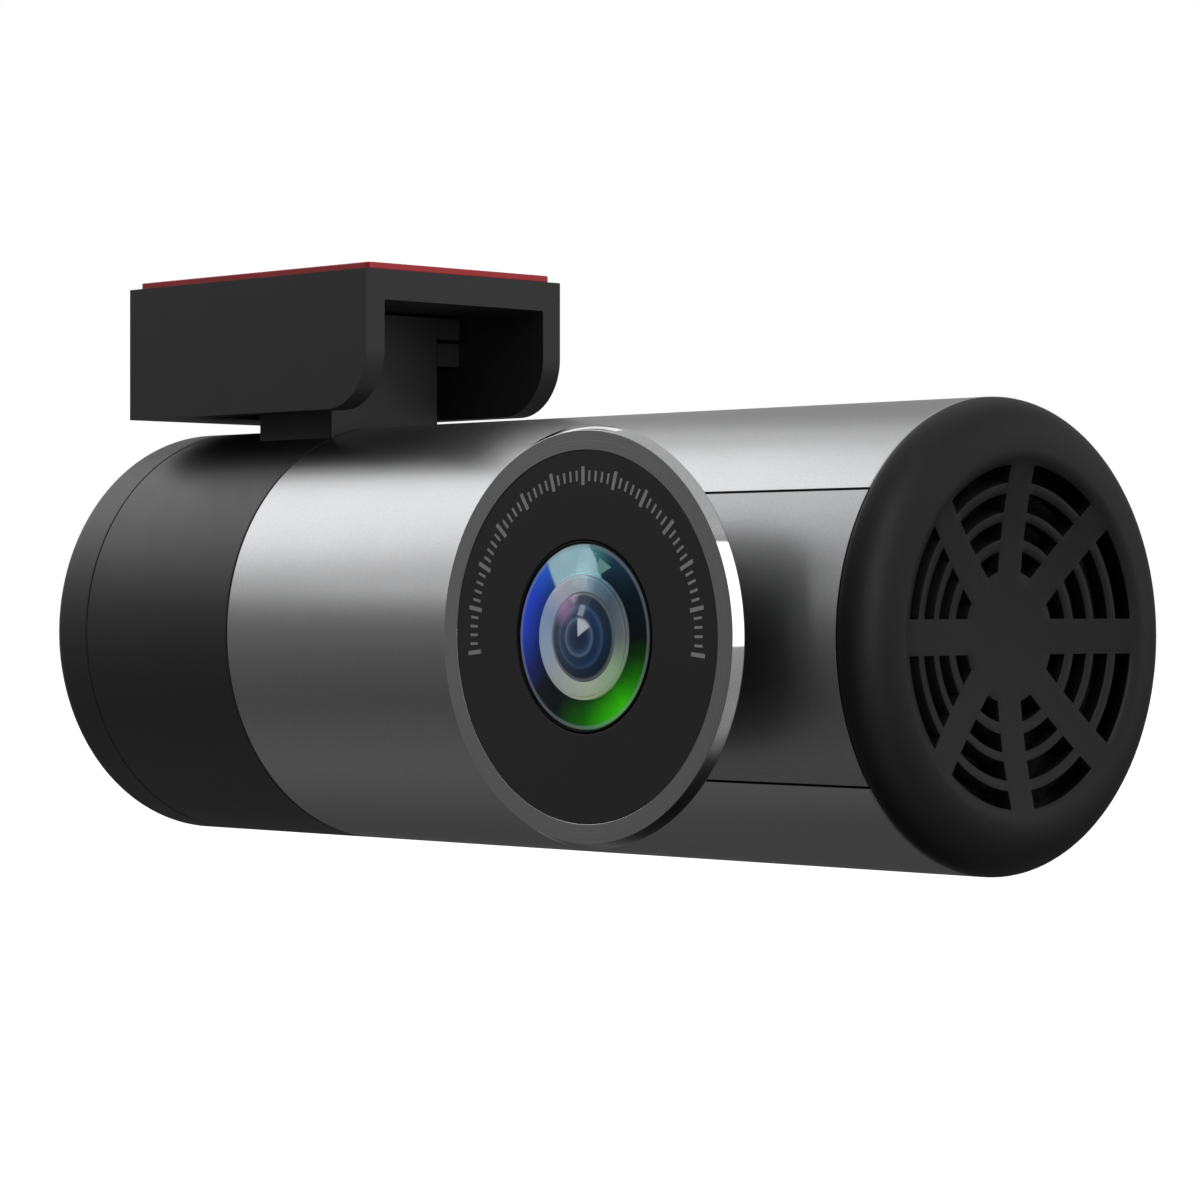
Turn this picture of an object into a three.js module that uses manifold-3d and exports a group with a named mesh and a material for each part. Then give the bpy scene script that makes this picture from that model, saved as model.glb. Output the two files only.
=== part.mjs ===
// Cylindrical dash camera on a windscreen bracket, millimetres, +Z up.
//
// The camera is a cylinder lying along X. Its lens looks towards -Y, the speaker grille is on
// the +X end, and the fixed arm with the slide neck is on the -X end. The bracket sits above
// the arm, and its adhesive face is the plane z = 0, centred on the origin.
//
// Three bodies move. The arm slides along +X out of the bracket rails, the head (silver
// shell with all the electronics) turns about the cylinder axis, and the power button presses
// into the back of the head.

import * as THREE from 'three';
import { mergeVertices } from 'three/addons/utils/BufferGeometryUtils.js';
import Module from 'manifold-3d';

const wasm = await Module();
wasm.setup();

// ---------------------------------------------------------------- driving dimensions

const AXIS_X = 53.4; // lens axis, from the middle of the bracket
const AXIS_Z = -31.3; // cylinder axis, below the adhesive face

const BODY_RADIUS = 18.0;
const WALL = 1.8;
const BORE = BODY_RADIUS - WALL;
const GAP = 0.3; // seam between neighbouring pieces

// stations along the cylinder, measured from the lens axis
const END_FACE = -72.0;
const CAP_SEAM = -67.05;
const PIVOT_SEAM = -47.45;
const GRILLE_SEAM = 21.95;
const GRILLE_CREST = 24.75;
const GRILLE_ROUND = 4.3; // how far in from the side the rounded rim reaches

// windscreen bracket
const BRACKET_LEFT = -69.6;
const BRACKET_RIGHT = -37.2;
const BRACKET_HALF_WIDTH = 11.25;
const BRACKET_BOTTOM = 19.0;
const BRACKET_TOP = 30.7;
const CHANNEL_HALF_WIDTH = 9.2;
const CHANNEL_CEILING = 28.15;
const CHANNEL_LEFT = -60.8;
const CORNER_RADIUS = 5.0;
const LIP_HALF_GAP = 6.55;
const LIP_BOTTOM = 23.7;
const LIP_TOP = 25.75;
const LIP_RIGHT = -48.2;
const STOP_RIGHT = -57.8;
const PAD_LENGTH = 30.0;
const PAD_WIDTH = 20.1;
const LINER_LENGTH = 31.4; // the liner overhangs the foam, so it can be gripped and peeled
const LINER_WIDTH = 21.0;
const ADHESIVE_TOP = -AXIS_Z;

// neck that hangs in the bracket
const NECK_LEFT = -57.5;
const NECK_HALF_WIDTH = 6.22;
const HEAD_HALF_WIDTH = 8.92;
const HEAD_BOTTOM = 26.05;
const HEAD_TOP = 27.9;

// pitch pivot
const WEB_LEFT = -50.0;
const WEB_RIGHT = -48.05;
const AXLE_RADIUS = 5.0;
const AXLE_END = -52.6;
const HUB_LEFT = PIVOT_SEAM + GAP / 2;
const HUB_RIGHT = HUB_LEFT + 1.9;
const PEG_RADIUS = 13.2;
const PITCH_LIMIT = 60;

// front panel, seen between two straight seams
const PANEL_HALF_ANGLE = 37.4;
const PANEL_LEFT = -12.9;

// lens assembly, distances from the cylinder axis along the lens axis
const FRONT_FACE = 22.0;
const BEZEL_FACE_RADIUS = 15.52;
const BEZEL_RADIUS = 15.95; // at the wide edge of the flared rim
const BEZEL_EDGE = 21.18;
const BEZEL_STEP_RADIUS = 14.9; // of the body behind the rim
const BEZEL_BACK = 20.5;
const PLATE_RADIUS = 14.02;
const TURRET_RADIUS = 9.6;
const LENS_RADIUS = 7.2;
const GLASS_RADIUS = 6.98;

// speaker grille
const GRILLE_RADIUS = 12.87;
const GRILLE_RIM_X = 24.43;
const DISH_DEPTH = 1.55;
const SPOKE_WIDTH = 2.7;
const SLOT_ROWS = [[11.55, 12.87], [9.39, 10.73], [7.36, 8.65], [5.0, 6.46]];

// electronics
const BOARD_LEFT = -43.0;
const BOARD_RIGHT = 12.6;
const BOARD_FRONT = 0.8;
const BOARD_BACK = 14.2;
const BOARD_HALF = 0.55;
const BUTTON_X = -28.0;
const BUTTON_RADIUS = 2.6;
const USB_X = 4.6;
const CARD_X = -11.0;
const LIGHT_X = -36.5;
const CONTROLS_Z = 1.3; // button, light and microphone, above the board

// facets round a full turn
const FINE = 48;
const MEDIUM = 32;
const COARSE = 16;

// ---------------------------------------------------------------- materials

const material = (color, roughness, metalness) =>
  new THREE.MeshStandardMaterial({ color, roughness, metalness });

const blackPlastic = material(0x2a2a2b, 0.55, 0.0);
const capPlastic = material(0x1a1a1b, 0.45, 0.0);
const satinSilver = material(0xa7a9ab, 0.35, 1.0);
const machinedAluminium = material(0x8c8e90, 0.3, 1.0);
const darkAnodised = material(0x101012, 0.4, 0.6);
const plateBlack = material(0x1c1c1c, 0.6, 0.0);
const foam = material(0x35353a, 0.95, 0.0);
const redFilm = material(0xc8232c, 0.35, 0.0);
const nylon = material(0xd9d6cc, 0.6, 0.0);
const springSteel = material(0xb5b7ba, 0.3, 1.0);
const screwSteel = material(0x6e7074, 0.35, 1.0);
const glass = material(0x1b2a4a, 0.05, 0.0);
const blueFilter = material(0x2f6f86, 0.1, 0.0);
const boardGreen = material(0x14532d, 0.5, 0.0);
const chipBlack = material(0x151517, 0.5, 0.0);
const tinnedSteel = material(0xc3c5c8, 0.35, 1.0);
const batteryFoil = material(0xb9bcc2, 0.3, 0.8);
const clearPlastic = material(0xdfe7ea, 0.15, 0.0);
const cloth = material(0x0d0d0e, 0.95, 0.0);
const paperCone = material(0x26241f, 0.9, 0.0);
const magnetSteel = material(0x55575b, 0.4, 1.0);
const ledResin = material(0xeef3d0, 0.3, 0.0);

// ---------------------------------------------------------------- solids

// Turns a three.js geometry into a closed solid with its faces pointing outwards.
function solid(source) {
  const bare = source.clone();
  bare.deleteAttribute('normal');
  bare.deleteAttribute('uv');
  const merged = mergeVertices(bare, 1e-4);
  const index = Array.from(merged.index.array);
  const points = new Float32Array(merged.attributes.position.array);
  const kept = [];
  for (let i = 0; i < index.length; i += 3) {
    const [a, b, c] = index.slice(i, i + 3);
    if (a !== b && b !== c && c !== a) {
      kept.push(a, b, c);
    }
  }
  const at = (i) => new THREE.Vector3().fromArray(points, i * 3);
  let volume = 0;
  for (let i = 0; i < kept.length; i += 3) {
    volume += at(kept[i]).dot(at(kept[i + 1]).cross(at(kept[i + 2])));
  }
  if (volume < 0) {
    kept.reverse();
  }
  const mesh = new wasm.Mesh({
    numProp: 3,
    vertProperties: points,
    triVerts: new Uint32Array(kept),
  });
  return new wasm.Manifold(mesh);
}

// Box between two corners.
function block(x0, x1, y0, y1, z0, z1) {
  const shape = new THREE.BoxGeometry(x1 - x0, y1 - y0, z1 - z0);
  shape.translate((x0 + x1) / 2, (y0 + y1) / 2, (z0 + z1) / 2);
  return solid(shape);
}

// Solid of revolution about the X axis, from [x, radius] pairs.
function turnedX(pairs, segments = FINE) {
  const profile = pairs.map(([x, r]) => new THREE.Vector2(r, x));
  const shape = new THREE.LatheGeometry(profile, segments);
  shape.rotateZ(-Math.PI / 2);
  return solid(shape);
}

// Solid of revolution about the Y axis at (x, z), from [distance in front, radius] pairs.
function turnedY(pairs, segments = FINE, x = 0, z = 0) {
  const profile = pairs.map(([front, r]) => new THREE.Vector2(r, -front));
  const shape = new THREE.LatheGeometry(profile, segments);
  shape.translate(x, 0, z);
  return solid(shape);
}

// Solid of revolution about a vertical line at (x, y), from [z, radius] pairs.
function turnedZ(pairs, segments, x, y) {
  const profile = pairs.map(([z, r]) => new THREE.Vector2(r, z));
  const shape = new THREE.LatheGeometry(profile, segments);
  shape.rotateX(Math.PI / 2);
  shape.translate(x, y, 0);
  return solid(shape);
}

// Straight cylinder and tube profiles, for the turned shapes above.
const rod = (a, b, radius) => [[a, 0], [a, radius], [b, radius], [b, 0]];
const tube = (a, b, inner, outer) => [
  [a, inner], [a, outer], [b, outer], [b, inner], [a, inner],
];

// Points on an elliptical arc about a centre, as [along, radius] pairs.
function arc(centre, sizes, from, to, steps) {
  const pairs = [];
  for (let i = 0; i <= steps; i += 1) {
    const angle = THREE.MathUtils.degToRad(from + ((to - from) * i) / steps);
    pairs.push([
      centre[0] + sizes[0] * Math.cos(angle),
      centre[1] + sizes[1] * Math.sin(angle),
    ]);
  }
  return pairs;
}

// Wedge about the X axis between two angles, measured from straight ahead (-Y) towards +Z.
function wedge(x0, x1, inner, outer, from, to, steps = 12) {
  const outline = new THREE.Shape();
  const point = (radius, degrees) => {
    const angle = THREE.MathUtils.degToRad(degrees);
    return [-radius * Math.cos(angle), radius * Math.sin(angle)];
  };
  for (let i = 0; i <= steps; i += 1) {
    const [y, z] = point(outer, from + ((to - from) * i) / steps);
    if (i === 0) {
      outline.moveTo(y, z);
    } else {
      outline.lineTo(y, z);
    }
  }
  for (let i = steps; i >= 0; i -= 1) {
    outline.lineTo(...point(inner, from + ((to - from) * i) / steps));
  }
  const shape = new THREE.ExtrudeGeometry(outline, { depth: x1 - x0, bevelEnabled: false });
  // the outline is drawn in (Y, Z) and pushed along X
  shape.applyMatrix4(new THREE.Matrix4().set(0, 0, 1, x0, 1, 0, 0, 0, 0, 1, 0, 0, 0, 0, 0, 1));
  return solid(shape);
}

// Union of several solids.
const join = (...solids) => solids.reduce((sum, next) => sum.add(next));

// One named piece from a finished solid.
function piece(name, shape, look) {
  const mesh = shape.getMesh();
  const geometry = new THREE.BufferGeometry();
  geometry.setAttribute(
    'position',
    new THREE.BufferAttribute(new Float32Array(mesh.vertProperties), 3),
  );
  geometry.setIndex(Array.from(mesh.triVerts));
  geometry.computeVertexNormals();
  const node = new THREE.Mesh(geometry, look);
  node.name = name;
  return node;
}

// ---------------------------------------------------------------- bracket on the windscreen

function bracket() {
  const outline = new THREE.Shape();
  outline.moveTo(BRACKET_LEFT, BRACKET_BOTTOM);
  outline.lineTo(BRACKET_RIGHT - CORNER_RADIUS, BRACKET_BOTTOM);
  outline.absarc(
    BRACKET_RIGHT - CORNER_RADIUS,
    BRACKET_BOTTOM + CORNER_RADIUS,
    CORNER_RADIUS,
    -Math.PI / 2,
    0,
    false,
  );
  outline.lineTo(BRACKET_RIGHT, BRACKET_TOP);
  outline.lineTo(BRACKET_LEFT, BRACKET_TOP);
  outline.closePath();
  const plates = new THREE.ExtrudeGeometry(outline, {
    depth: 2 * BRACKET_HALF_WIDTH,
    bevelEnabled: false,
    curveSegments: 10,
  });
  plates.rotateX(Math.PI / 2);
  plates.translate(0, BRACKET_HALF_WIDTH, 0);
  const width = CHANNEL_HALF_WIDTH;
  const channel = block(
    CHANNEL_LEFT, BRACKET_RIGHT + 2, -width, width, BRACKET_BOTTOM - 2, CHANNEL_CEILING,
  );
  const padPocket = block(
    (BRACKET_LEFT + BRACKET_RIGHT - PAD_LENGTH) / 2 - GAP,
    (BRACKET_LEFT + BRACKET_RIGHT + PAD_LENGTH) / 2 + GAP,
    -PAD_WIDTH / 2 - GAP, PAD_WIDTH / 2 + GAP, BRACKET_TOP - 0.9, BRACKET_TOP + 2,
  );
  let shape = solid(plates).subtract(channel).subtract(padPocket);
  for (const side of [-1, 1]) {
    const [near, far] = side < 0 ? [-width - 0.5, -LIP_HALF_GAP] : [LIP_HALF_GAP, width + 0.5];
    const lip = block(CHANNEL_LEFT - 0.5, LIP_RIGHT, near, far, LIP_BOTTOM, LIP_TOP);
    const stop = block(CHANNEL_LEFT - 0.5, STOP_RIGHT, near, far, LIP_BOTTOM, CHANNEL_CEILING + 0.2);
    shape = join(shape, lip, stop);
  }
  return piece('bracket', shape, blackPlastic);
}

function adhesivePad() {
  const middle = (BRACKET_LEFT + BRACKET_RIGHT) / 2;
  const sheet = (length, width, z0, z1) => block(
    middle - length / 2, middle + length / 2, -width / 2, width / 2, z0, z1,
  );
  const foamSheet = sheet(PAD_LENGTH - 0.2, PAD_WIDTH - 0.2, BRACKET_TOP - 0.7, ADHESIVE_TOP - 0.7);
  const liner = sheet(LINER_LENGTH, LINER_WIDTH, ADHESIVE_TOP - 0.55, ADHESIVE_TOP);
  return [piece('adhesive_foam', foamSheet, foam), piece('release_liner', liner, redFilm)];
}

// ---------------------------------------------------------------- arm hanging in the bracket

function armHousing() {
  const right = PIVOT_SEAM - GAP / 2;
  const left = CAP_SEAM + GAP / 2;
  const bore = BODY_RADIUS - 2.0;
  const sleeve = turnedX([
    [left, bore], [left, BODY_RADIUS], [right, BODY_RADIUS], [right, bore],
    [WEB_RIGHT, bore], [WEB_RIGHT, AXLE_RADIUS + 0.09],
    [WEB_LEFT, AXLE_RADIUS + 0.09], [WEB_LEFT, bore], [left, bore],
  ]);
  const stem = block(NECK_LEFT, right, -NECK_HALF_WIDTH, NECK_HALF_WIDTH, 16.6, HEAD_BOTTOM + 0.4);
  const head = block(NECK_LEFT, right, -HEAD_HALF_WIDTH, HEAD_HALF_WIDTH, HEAD_BOTTOM, HEAD_TOP);
  const peg = 8; // half the angle that the stop peg takes up, with a little play, degrees
  const stopSlot = wedge(
    WEB_LEFT - 1, WEB_RIGHT + 1, PEG_RADIUS - 1.4, PEG_RADIUS + 1.4,
    -PITCH_LIMIT - peg, PITCH_LIMIT + peg, 24,
  );
  const shape = join(sleeve, stem, head).subtract(stopSlot);
  return piece('arm_housing', shape, blackPlastic);
}

function endCap() {
  const right = CAP_SEAM - GAP / 2;
  const round = 1.4;
  const spigot = BODY_RADIUS - 2.0 - 0.2;
  const rim = arc([END_FACE + round, BODY_RADIUS - round], [round, round], 180, 90, 4);
  const shape = turnedX([
    [END_FACE, 0], ...rim, [right, BODY_RADIUS], [right, spigot],
    [right + 3.6, spigot], [right + 3.6, spigot - 1.5],
    [END_FACE + WALL, spigot - 1.5], [END_FACE + WALL, 0],
  ]);
  return piece('end_cap', shape, blackPlastic);
}

function frictionRing() {
  const shape = turnedX(tube(WEB_RIGHT + 0.15, HUB_LEFT - 0.15, 6.2, 11.2), MEDIUM);
  return piece('friction_ring', shape, nylon);
}

function waveWasher() {
  // slightly coned so that it presses when flattened
  const left = AXLE_END + 0.55;
  const right = WEB_LEFT - 0.2;
  const shape = turnedX([
    [left, 5.4], [left + 0.4, 5.4], [right, 8.3], [right - 0.4, 8.3], [left, 5.4],
  ], MEDIUM);
  return piece('wave_washer', shape, springSteel);
}

// ---------------------------------------------------------------- pivot parts of the head

function pivotHub() {
  const rim = BORE - 0.2;
  const hub = turnedX([
    [AXLE_END, 0], [AXLE_END, AXLE_RADIUS], [HUB_LEFT, AXLE_RADIUS], [HUB_LEFT, rim],
    [HUB_RIGHT + 1.6, rim], [HUB_RIGHT + 1.6, rim - 1.5], [HUB_RIGHT, rim - 1.5], [HUB_RIGHT, 0],
  ]);
  const peg = block(
    WEB_LEFT + 0.3, HUB_LEFT + 0.5, -PEG_RADIUS - 0.9, -PEG_RADIUS + 0.9, -1.4, 1.4,
  );
  const threadBore = turnedX(rod(AXLE_END - 1, HUB_LEFT + 0.6, 1.45), COARSE);
  return piece('pivot_hub', join(hub, peg).subtract(threadBore), blackPlastic);
}

function retainerWasher() {
  const shape = turnedX(tube(AXLE_END - 0.95, AXLE_END - 0.15, 1.75, 8.6), MEDIUM);
  return piece('retainer_washer', shape, springSteel);
}

function pivotScrew() {
  const seat = AXLE_END - 0.95 - 0.15;
  const shape = turnedX([
    [seat - 1.8, 0], [seat - 1.8, 2.2], [seat - 1.4, 2.9], [seat, 2.9],
    [seat, 1.25], [HUB_LEFT - 0.2, 1.25], [HUB_LEFT + 0.3, 0.8], [HUB_LEFT + 0.3, 0],
  ], MEDIUM);
  const slotCross = join(
    block(seat - 3, seat - 0.9, -1.5, 1.5, -0.35, 0.35),
    block(seat - 3, seat - 0.9, -0.35, 0.35, -1.5, 1.5),
  );
  return piece('pivot_screw', shape.subtract(slotCross), screwSteel);
}

// ---------------------------------------------------------------- shell of the head

const boardPosts = [[BOARD_LEFT + 5.5, 3.0], [BOARD_RIGHT - 2.6, 3.0]];

function mainShell() {
  const left = PIVOT_SEAM + GAP / 2;
  const right = GRILLE_SEAM - GAP / 2;
  let shape = turnedX(tube(left, right, BORE, BODY_RADIUS));
  for (const [x, y] of boardPosts) {
    // round post under the circuit board, growing out of the bottom of the shell
    const foot = -Math.sqrt(BORE * BORE - y * y) - 0.5;
    const post = turnedZ(rod(foot, -BOARD_HALF - 0.15, 2.4), MEDIUM, x, y);
    const pilot = turnedZ(rod(-8, 0, 0.95), COARSE, x, y);
    shape = shape.add(post).subtract(pilot);
  }
  const panelOpening = wedge(
    PANEL_LEFT - GAP / 2, right + 2, BORE - 2, BODY_RADIUS + 2,
    -PANEL_HALF_ANGLE, PANEL_HALF_ANGLE, 4,
  );
  const usbMouth = block(USB_X - 4.5, USB_X + 4.5, 12, 22, 0.35, 4.05);
  const cardMouth = block(CARD_X - 6.2, CARD_X + 6.2, 12, 22, 0.75, 2.35);
  const buttonHole = turnedY(rod(-12, -22, BUTTON_RADIUS + 0.25), MEDIUM, BUTTON_X, CONTROLS_Z);
  const lightHole = turnedY(rod(-12, -22, 1.2), COARSE, LIGHT_X, CONTROLS_Z);
  const micHole = turnedY(rod(-12, -22, 0.6), COARSE, LIGHT_X - 5, CONTROLS_Z);
  for (const hole of [panelOpening, usbMouth, cardMouth, buttonHole, lightHole, micHole]) {
    shape = shape.subtract(hole);
  }
  return piece('main_shell', shape, satinSilver);
}

function frontPanel() {
  const seam = THREE.MathUtils.radToDeg(GAP / BODY_RADIUS);
  const half = PANEL_HALF_ANGLE - seam;
  const skin = wedge(
    PANEL_LEFT + GAP / 2, GRILLE_SEAM - GAP / 2, BORE, BODY_RADIUS, -half, half, 14,
  );
  const turretHole = turnedY(rod(10, 22, TURRET_RADIUS + 0.2), MEDIUM);
  return piece('front_panel', skin.subtract(turretHole), satinSilver);
}

function grilleCap() {
  const left = GRILLE_SEAM + GAP / 2;
  const rim = arc(
    [left, BODY_RADIUS - GRILLE_ROUND], [GRILLE_CREST - left, GRILLE_ROUND], 90, 0, 5,
  );
  const dish = [];
  const hubX = GRILLE_RIM_X - DISH_DEPTH;
  for (let i = 0; i <= 3; i += 1) {
    const radius = GRILLE_RADIUS * (1 - i / 3);
    dish.push([hubX + DISH_DEPTH * (radius / GRILLE_RADIUS) ** 2, radius]);
  }
  const spigot = BORE - 0.2;
  const cap = turnedX([
    [left - 4.2, spigot - 1.5], [left - 4.2, spigot], [left, spigot],
    ...rim, ...dish, [21.25, 0], [21.25, spigot - 1.5], [left - 4.2, spigot - 1.5],
  ]);
  let slots = join(...SLOT_ROWS.map(([inner, outer]) => turnedX(tube(18, 28, inner, outer))));
  for (let i = 0; i < 4; i += 1) {
    const spoke = block(17, 29, -20, 20, -SPOKE_WIDTH / 2, SPOKE_WIDTH / 2).rotate([i * 45, 0, 0]);
    slots = slots.subtract(spoke);
  }
  return piece('grille_cap', cap.subtract(slots), capPlastic);
}

// ---------------------------------------------------------------- lens and bezel

function turret() {
  const shape = turnedY([
    [BEZEL_BACK - 0.2, 7.7], [BEZEL_BACK - 0.2, TURRET_RADIUS], [11.8, TURRET_RADIUS],
    [11.8, 10.7], [10.6, 10.7], [10.6, 7.7], [BEZEL_BACK - 0.2, 7.7],
  ], MEDIUM);
  return piece('turret', shape, blackPlastic);
}

function bezelRing() {
  const floor = FRONT_FACE - 0.9;
  const rimBack = BEZEL_EDGE - 0.18;
  const shape = turnedY([
    [FRONT_FACE, PLATE_RADIUS + 0.12], [FRONT_FACE, BEZEL_FACE_RADIUS],
    [BEZEL_EDGE, BEZEL_RADIUS], [rimBack, BEZEL_RADIUS - 0.1],
    [rimBack, BEZEL_STEP_RADIUS], [BEZEL_BACK, BEZEL_STEP_RADIUS],
    [BEZEL_BACK, 7.7], [floor, 7.7], [floor, PLATE_RADIUS + 0.12],
    [FRONT_FACE, PLATE_RADIUS + 0.12],
  ]);
  return piece('bezel_ring', shape, machinedAluminium);
}

function coverPlate() {
  const shape = turnedY(tube(FRONT_FACE - 0.75, FRONT_FACE - 0.12, 7.3, PLATE_RADIUS));
  return piece('cover_plate', shape, plateBlack);
}

function lensBarrel() {
  const shape = turnedY([
    [21.9, GLASS_RADIUS + 0.08], [21.9, LENS_RADIUS], [18.2, LENS_RADIUS], [18.2, 6.0],
    [6.0, 6.0], [6.0, 3.4], [16.6, 3.4], [16.6, 5.0], [20.3, 5.0],
    [20.3, GLASS_RADIUS + 0.08], [21.9, GLASS_RADIUS + 0.08],
  ], MEDIUM);
  return piece('lens_barrel', shape, darkAnodised);
}

// Spherical cap profile from the axis to a rim, bulging by sag.
function dome(apex, sag, radius, steps) {
  const pairs = [];
  for (let i = 0; i <= steps; i += 1) {
    const r = (radius * i) / steps;
    pairs.push([apex - sag * (r / radius) ** 2, r]);
  }
  return pairs;
}

function lensGlasses() {
  const front = turnedY([
    ...dome(22.95, 1.2, GLASS_RADIUS, 5), [20.5, GLASS_RADIUS],
    ...dome(21.75, 1.25, 4.7, 3).reverse(),
  ], MEDIUM);
  const second = turnedY([...dome(19.0, 0.7, 4.1, 3), [17.6, 4.1], [17.6, 0]], MEDIUM);
  const rear = turnedY([...dome(9.0, 0.5, 3.2, 2), [7.4, 3.2], [7.4, 0]], MEDIUM);
  const spacer = turnedY([
    [20.1, 4.5], [20.1, 4.85], [16.8, 4.85], [16.8, 4.25], [19.2, 4.25], [20.1, 4.5],
  ], MEDIUM);
  return [
    piece('lens_front_glass', front, glass),
    piece('lens_second_glass', second, glass),
    piece('lens_rear_glass', rear, glass),
    piece('lens_spacer', spacer, tinnedSteel),
  ];
}

function lensHolder() {
  const base = block(-8.5, 8.5, -7.6, -2.4, -8.5, 8.5);
  const collar = turnedY(tube(2.4, 10.2, 6.2, 7.5), MEDIUM);
  const well = turnedY(rod(4.6, 12, 6.2), MEDIUM);
  const window = block(-4.4, 4.4, -6, 0, -4.0, 4.0);
  let shape = join(base, collar).subtract(well).subtract(window);
  for (const [x, z] of [[-7.0, -7.0], [7.0, 7.0]]) {
    shape = shape.subtract(turnedY(rod(1, 7, 0.85), COARSE, x, z));
  }
  return piece('lens_holder', shape, chipBlack);
}

function sensorStack() {
  const board = block(-10, 10, -2.2, -1.2, -10, 10);
  const holes = join(
    turnedY(rod(0, 4, 1.0), COARSE, -7.0, -7.0),
    turnedY(rod(0, 4, 1.0), COARSE, 7.0, 7.0),
  );
  const screw = (x, z) => turnedY([
    [-0.05, 0], [-0.05, 1.2], [1.05, 1.2], [1.05, 0.65], [5.6, 0.65], [6.0, 0],
  ], COARSE, x, z);
  return [
    piece('ir_filter', block(-3.6, 3.6, -4.5, -4.2, -3.6, 3.6), blueFilter),
    piece('image_sensor', block(-3.4, 3.4, -3.4, -2.35, -2.7, 2.7), chipBlack),
    piece('sensor_board', board.subtract(holes), boardGreen),
    piece('holder_screw_1', screw(-7.0, -7.0), screwSteel),
    piece('holder_screw_2', screw(7.0, 7.0), screwSteel),
  ];
}

// ---------------------------------------------------------------- electronics

function mainBoard() {
  let shape = block(BOARD_LEFT, BOARD_RIGHT, BOARD_FRONT, BOARD_BACK, -BOARD_HALF, BOARD_HALF);
  for (const [x, y] of boardPosts) {
    shape = shape.subtract(turnedZ(rod(-2, 2, 1.1), COARSE, x, y));
  }
  // notch that the power button is pressed into
  shape = shape.subtract(block(BUTTON_X - 2.2, BUTTON_X + 2.2, 13.6, BOARD_BACK + 1, -1, 1));
  return piece('main_board', shape, boardGreen);
}

function boardScrews() {
  return boardPosts.map(([x, y], i) => {
    const seat = BOARD_HALF + 0.15;
    const shape = turnedZ([
      [-6.4, 0], [-6.0, 0.75], [seat, 0.75], [seat, 1.7], [seat + 1.0, 1.7], [seat + 1.3, 1.1],
      [seat + 1.3, 0],
    ], COARSE, x, y);
    return piece(`board_screw_${i + 1}`, shape, screwSteel);
  });
}

function boardParts() {
  const under = -BOARD_HALF - 0.15;
  const over = BOARD_HALF + 0.15;
  const socket = block(USB_X - 3.9, USB_X + 3.9, 9.6, 15.9, over, 3.7)
    .subtract(block(USB_X - 3.5, USB_X + 3.5, 11.0, 17.0, over + 0.4, 3.3));
  const tongue = block(USB_X - 2.6, USB_X + 2.6, 10.5, 15.2, 1.9, 2.5);
  const cardCage = block(CARD_X - 7.2, CARD_X + 7.2, 1.2, 15.6, over, 2.5)
    .subtract(block(CARD_X - 5.6, CARD_X + 5.6, 1.9, 17.0, over + 0.3, 2.15));
  const switchBody = block(BUTTON_X - 3.0, BUTTON_X + 3.0, 9.0, 12.8, over, 3.6);
  const plunger = block(BUTTON_X - 1.5, BUTTON_X + 1.5, 12.5, 13.9, over + 0.1, 1.9);
  const lamp = block(LIGHT_X - 1.0, LIGHT_X + 1.0, 12.6, 14.4, over, 1.6);
  const lightGuide = join(
    turnedY(rod(-14.7, -17.95, 1.0), COARSE, LIGHT_X, CONTROLS_Z),
    turnedY(rod(-14.7, -15.6, 1.7), COARSE, LIGHT_X, CONTROLS_Z),
  );
  const can = block(-34, -19.6, 3.2, 8.6, under - 2.6, under)
    .subtract(block(-33.7, -19.9, 3.5, 8.3, under - 2.3, under + 1));
  const chip = block(-32, -22, 3.8, 8.0, under - 1.4, under - 0.1);
  const link = block(-4.5, 4.5, -1.05, 0.6, -2.4, 2.4);
  return [
    piece('usb_socket', join(socket, tongue), tinnedSteel),
    piece('card_socket', cardCage, tinnedSteel),
    piece('tactile_switch', join(switchBody, plunger), chipBlack),
    piece('status_led', lamp, ledResin),
    piece('light_pipe', lightGuide, clearPlastic),
    piece('shield_can', can, tinnedSteel),
    piece('processor', chip, chipBlack),
    piece('board_link', link, chipBlack),
    piece('microphone', turnedY(rod(-12.6, -14.4, 1.4), COARSE, LIGHT_X - 5, 2.2), tinnedSteel),
  ];
}

function battery() {
  const cell = block(-42, -16, -9.6, -4.4, -9.5, 9.5);
  const trimmed = cell.intersect(turnedX(rod(-43, -15, 13.2), MEDIUM));
  return piece('battery_cell', trimmed, batteryFoil);
}

function powerButton() {
  const shape = turnedY([
    [-14.45, 0], [-14.45, 1.5], [-14.75, 1.5], [-14.75, 3.3], [-15.35, 3.3],
    [-15.35, BUTTON_RADIUS], [-18.1, BUTTON_RADIUS], [-18.35, BUTTON_RADIUS - 0.3], [-18.35, 0],
  ], MEDIUM, BUTTON_X, CONTROLS_Z);
  return piece('power_button', shape, blackPlastic);
}

// ---------------------------------------------------------------- speaker behind the grille

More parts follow.
